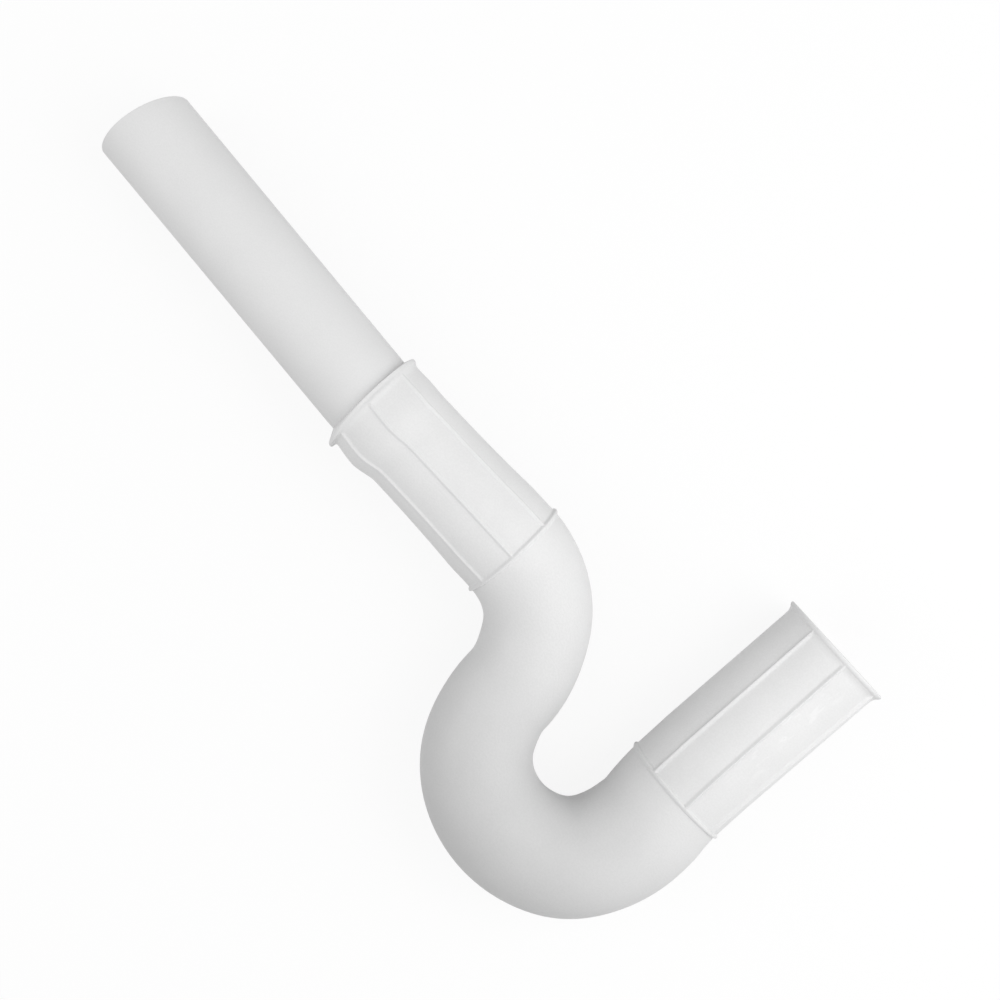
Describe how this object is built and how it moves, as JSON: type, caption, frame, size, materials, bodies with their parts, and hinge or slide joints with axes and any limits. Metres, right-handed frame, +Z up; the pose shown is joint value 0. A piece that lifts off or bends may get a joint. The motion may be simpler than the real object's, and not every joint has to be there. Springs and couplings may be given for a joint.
{
  "type": "rubber trap",
  "caption": "Soft white rubber P-trap: a bent waterway with ribbed, flanged sockets, and a plain plastic outlet pipe pushed loosely into the upper socket.",
  "frame": {"origin": "centre of the inlet socket's mouth, on the flange's outer face", "axes": "+Y out of the inlet's mouth, the outlet runs towards -X, and +Z is up from the surface that the trap lies on, square to the plane of its bends"},
  "size_m": [0.3091, 0.144, 0.0432],
  "materials": {
    "white_rubber": "soft satin moulded rubber",
    "white_pipe": "smooth matte"
  },
  "bodies": {
    "trap": {"trap_body": "white_rubber"},
    "pipe": {"outlet_pipe": "white_pipe"}
  },
  "joints": [
    {"name": "pipe_pull", "type": "slide", "parent": "trap", "child": "pipe", "axis": [-0.9982, 0.0349, -0.0491], "range_m": [0, 0.03]}
  ]
}
